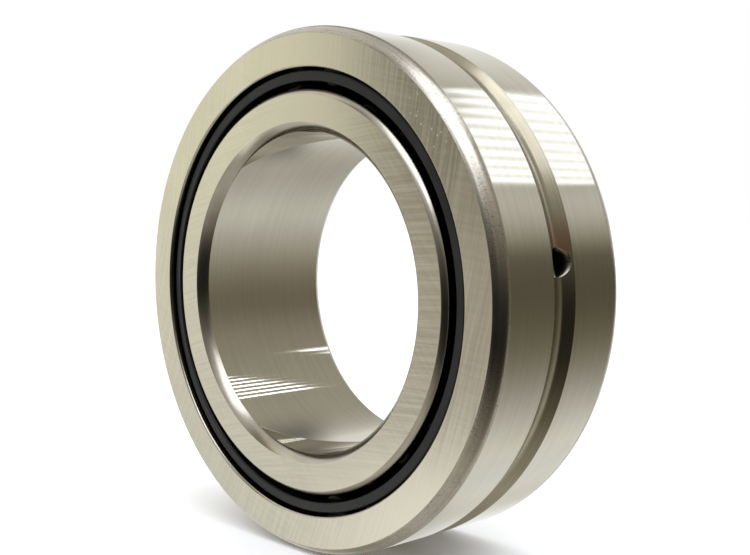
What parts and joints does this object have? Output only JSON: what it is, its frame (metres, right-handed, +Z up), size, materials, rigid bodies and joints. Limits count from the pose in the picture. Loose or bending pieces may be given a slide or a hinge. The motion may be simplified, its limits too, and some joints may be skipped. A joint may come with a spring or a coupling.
{
  "type": "needle roller bearing",
  "caption": "Machined needle roller bearing with an inner ring: ribbed outer ring with a rim oil groove and oil hole, plain inner ring, window cage and needle rollers.",
  "frame": {"origin": "centre of the bearing, where its axis crosses the middle of its width", "axes": "+Y along the bearing's axis, from the front face to the back face; +Z up as it stands on its rim; the oil hole is just above +X"},
  "size_m": [0.065, 0.022, 0.065],
  "materials": {
    "ring_steel": "ground satin",
    "roller_steel": "lapped",
    "cage_polymer": "satin black"
  },
  "bodies": {
    "outer_ring": {"outer_ring": "ring_steel"},
    "inner_ring": {"inner_ring": "ring_steel"},
    "cage": {"cage": "cage_polymer"},
    "needle_roller_01": {"needle_roller_01": "roller_steel"},
    "needle_roller_02": {"needle_roller_02": "roller_steel"},
    "needle_roller_03": {"needle_roller_03": "roller_steel"},
    "needle_roller_04": {"needle_roller_04": "roller_steel"},
    "needle_roller_05": {"needle_roller_05": "roller_steel"},
    "needle_roller_06": {"needle_roller_06": "roller_steel"},
    "needle_roller_07": {"needle_roller_07": "roller_steel"},
    "needle_roller_08": {"needle_roller_08": "roller_steel"},
    "needle_roller_09": {"needle_roller_09": "roller_steel"},
    "needle_roller_10": {"needle_roller_10": "roller_steel"},
    "needle_roller_11": {"needle_roller_11": "roller_steel"},
    "needle_roller_12": {"needle_roller_12": "roller_steel"},
    "needle_roller_13": {"needle_roller_13": "roller_steel"},
    "needle_roller_14": {"needle_roller_14": "roller_steel"},
    "needle_roller_15": {"needle_roller_15": "roller_steel"},
    "needle_roller_16": {"needle_roller_16": "roller_steel"},
    "needle_roller_17": {"needle_roller_17": "roller_steel"},
    "needle_roller_18": {"needle_roller_18": "roller_steel"},
    "needle_roller_19": {"needle_roller_19": "roller_steel"},
    "needle_roller_20": {"needle_roller_20": "roller_steel"},
    "needle_roller_21": {"needle_roller_21": "roller_steel"},
    "needle_roller_22": {"needle_roller_22": "roller_steel"}
  },
  "joints": [
    {"name": "inner_ring_spin", "type": "hinge", "parent": "outer_ring", "child": "inner_ring", "pos_m": [0, 0, 0], "axis": [0, 1, 0], "continuous": true},
    {"name": "cage_spin", "type": "hinge", "parent": "outer_ring", "child": "cage", "pos_m": [0, 0, 0], "axis": [0, 1, 0], "continuous": true},
    {"name": "needle_roller_01_spin", "type": "hinge", "parent": "cage", "child": "needle_roller_01", "pos_m": [0.0275, 0, 0], "axis": [0, 1, 0], "continuous": true},
    {"name": "needle_roller_02_spin", "type": "hinge", "parent": "cage", "child": "needle_roller_02", "pos_m": [0.02639, 0, 0.00775], "axis": [0, 1, 0], "continuous": true},
    {"name": "needle_roller_03_spin", "type": "hinge", "parent": "cage", "child": "needle_roller_03", "pos_m": [0.02313, 0, 0.01487], "axis": [0, 1, 0], "continuous": true},
    {"name": "needle_roller_04_spin", "type": "hinge", "parent": "cage", "child": "needle_roller_04", "pos_m": [0.01801, 0, 0.02078], "axis": [0, 1, 0], "continuous": true},
    {"name": "needle_roller_05_spin", "type": "hinge", "parent": "cage", "child": "needle_roller_05", "pos_m": [0.01142, 0, 0.02501], "axis": [0, 1, 0], "continuous": true},
    {"name": "needle_roller_06_spin", "type": "hinge", "parent": "cage", "child": "needle_roller_06", "pos_m": [0.00391, 0, 0.02722], "axis": [0, 1, 0], "continuous": true},
    {"name": "needle_roller_07_spin", "type": "hinge", "parent": "cage", "child": "needle_roller_07", "pos_m": [-0.00391, 0, 0.02722], "axis": [0, 1, 0], "continuous": true},
    {"name": "needle_roller_08_spin", "type": "hinge", "parent": "cage", "child": "needle_roller_08", "pos_m": [-0.01142, 0, 0.02501], "axis": [0, 1, 0], "continuous": true},
    {"name": "needle_roller_09_spin", "type": "hinge", "parent": "cage", "child": "needle_roller_09", "pos_m": [-0.01801, 0, 0.02078], "axis": [0, 1, 0], "continuous": true},
    {"name": "needle_roller_10_spin", "type": "hinge", "parent": "cage", "child": "needle_roller_10", "pos_m": [-0.02313, 0, 0.01487], "axis": [0, 1, 0], "continuous": true},
    {"name": "needle_roller_11_spin", "type": "hinge", "parent": "cage", "child": "needle_roller_11", "pos_m": [-0.02639, 0, 0.00775], "axis": [0, 1, 0], "continuous": true},
    {"name": "needle_roller_12_spin", "type": "hinge", "parent": "cage", "child": "needle_roller_12", "pos_m": [-0.0275, 0, 0], "axis": [0, 1, 0], "continuous": true},
    {"name": "needle_roller_13_spin", "type": "hinge", "parent": "cage", "child": "needle_roller_13", "pos_m": [-0.02639, 0, -0.00775], "axis": [0, 1, 0], "continuous": true},
    {"name": "needle_roller_14_spin", "type": "hinge", "parent": "cage", "child": "needle_roller_14", "pos_m": [-0.02313, 0, -0.01487], "axis": [0, 1, 0], "continuous": true},
    {"name": "needle_roller_15_spin", "type": "hinge", "parent": "cage", "child": "needle_roller_15", "pos_m": [-0.01801, 0, -0.02078], "axis": [0, 1, 0], "continuous": true},
    {"name": "needle_roller_16_spin", "type": "hinge", "parent": "cage", "child": "needle_roller_16", "pos_m": [-0.01142, 0, -0.02501], "axis": [0, 1, 0], "continuous": true},
    {"name": "needle_roller_17_spin", "type": "hinge", "parent": "cage", "child": "needle_roller_17", "pos_m": [-0.00391, 0, -0.02722], "axis": [0, 1, 0], "continuous": true},
    {"name": "needle_roller_18_spin", "type": "hinge", "parent": "cage", "child": "needle_roller_18", "pos_m": [0.00391, 0, -0.02722], "axis": [0, 1, 0], "continuous": true},
    {"name": "needle_roller_19_spin", "type": "hinge", "parent": "cage", "child": "needle_roller_19", "pos_m": [0.01142, 0, -0.02501], "axis": [0, 1, 0], "continuous": true},
    {"name": "needle_roller_20_spin", "type": "hinge", "parent": "cage", "child": "needle_roller_20", "pos_m": [0.01801, 0, -0.02078], "axis": [0, 1, 0], "continuous": true},
    {"name": "needle_roller_21_spin", "type": "hinge", "parent": "cage", "child": "needle_roller_21", "pos_m": [0.02313, 0, -0.01487], "axis": [0, 1, 0], "continuous": true},
    {"name": "needle_roller_22_spin", "type": "hinge", "parent": "cage", "child": "needle_roller_22", "pos_m": [0.02639, 0, -0.00775], "axis": [0, 1, 0], "continuous": true}
  ],
  "couplings": [
    {"joint": "cage_spin", "follows": "inner_ring_spin", "ratio": 0.45454},
    {"joint": "needle_roller_01_spin", "follows": "inner_ring_spin", "ratio": -5.4545},
    {"joint": "needle_roller_02_spin", "follows": "inner_ring_spin", "ratio": -5.4545},
    {"joint": "needle_roller_03_spin", "follows": "inner_ring_spin", "ratio": -5.4545},
    {"joint": "needle_roller_04_spin", "follows": "inner_ring_spin", "ratio": -5.4545},
    {"joint": "needle_roller_05_spin", "follows": "inner_ring_spin", "ratio": -5.4545},
    {"joint": "needle_roller_06_spin", "follows": "inner_ring_spin", "ratio": -5.4545},
    {"joint": "needle_roller_07_spin", "follows": "inner_ring_spin", "ratio": -5.4545},
    {"joint": "needle_roller_08_spin", "follows": "inner_ring_spin", "ratio": -5.4545},
    {"joint": "needle_roller_09_spin", "follows": "inner_ring_spin", "ratio": -5.4545},
    {"joint": "needle_roller_10_spin", "follows": "inner_ring_spin", "ratio": -5.4545},
    {"joint": "needle_roller_11_spin", "follows": "inner_ring_spin", "ratio": -5.4545},
    {"joint": "needle_roller_12_spin", "follows": "inner_ring_spin", "ratio": -5.4545},
    {"joint": "needle_roller_13_spin", "follows": "inner_ring_spin", "ratio": -5.4545},
    {"joint": "needle_roller_14_spin", "follows": "inner_ring_spin", "ratio": -5.4545},
    {"joint": "needle_roller_15_spin", "follows": "inner_ring_spin", "ratio": -5.4545},
    {"joint": "needle_roller_16_spin", "follows": "inner_ring_spin", "ratio": -5.4545},
    {"joint": "needle_roller_17_spin", "follows": "inner_ring_spin", "ratio": -5.4545},
    {"joint": "needle_roller_18_spin", "follows": "inner_ring_spin", "ratio": -5.4545},
    {"joint": "needle_roller_19_spin", "follows": "inner_ring_spin", "ratio": -5.4545},
    {"joint": "needle_roller_20_spin", "follows": "inner_ring_spin", "ratio": -5.4545},
    {"joint": "needle_roller_21_spin", "follows": "inner_ring_spin", "ratio": -5.4545},
    {"joint": "needle_roller_22_spin", "follows": "inner_ring_spin", "ratio": -5.4545}
  ]
}
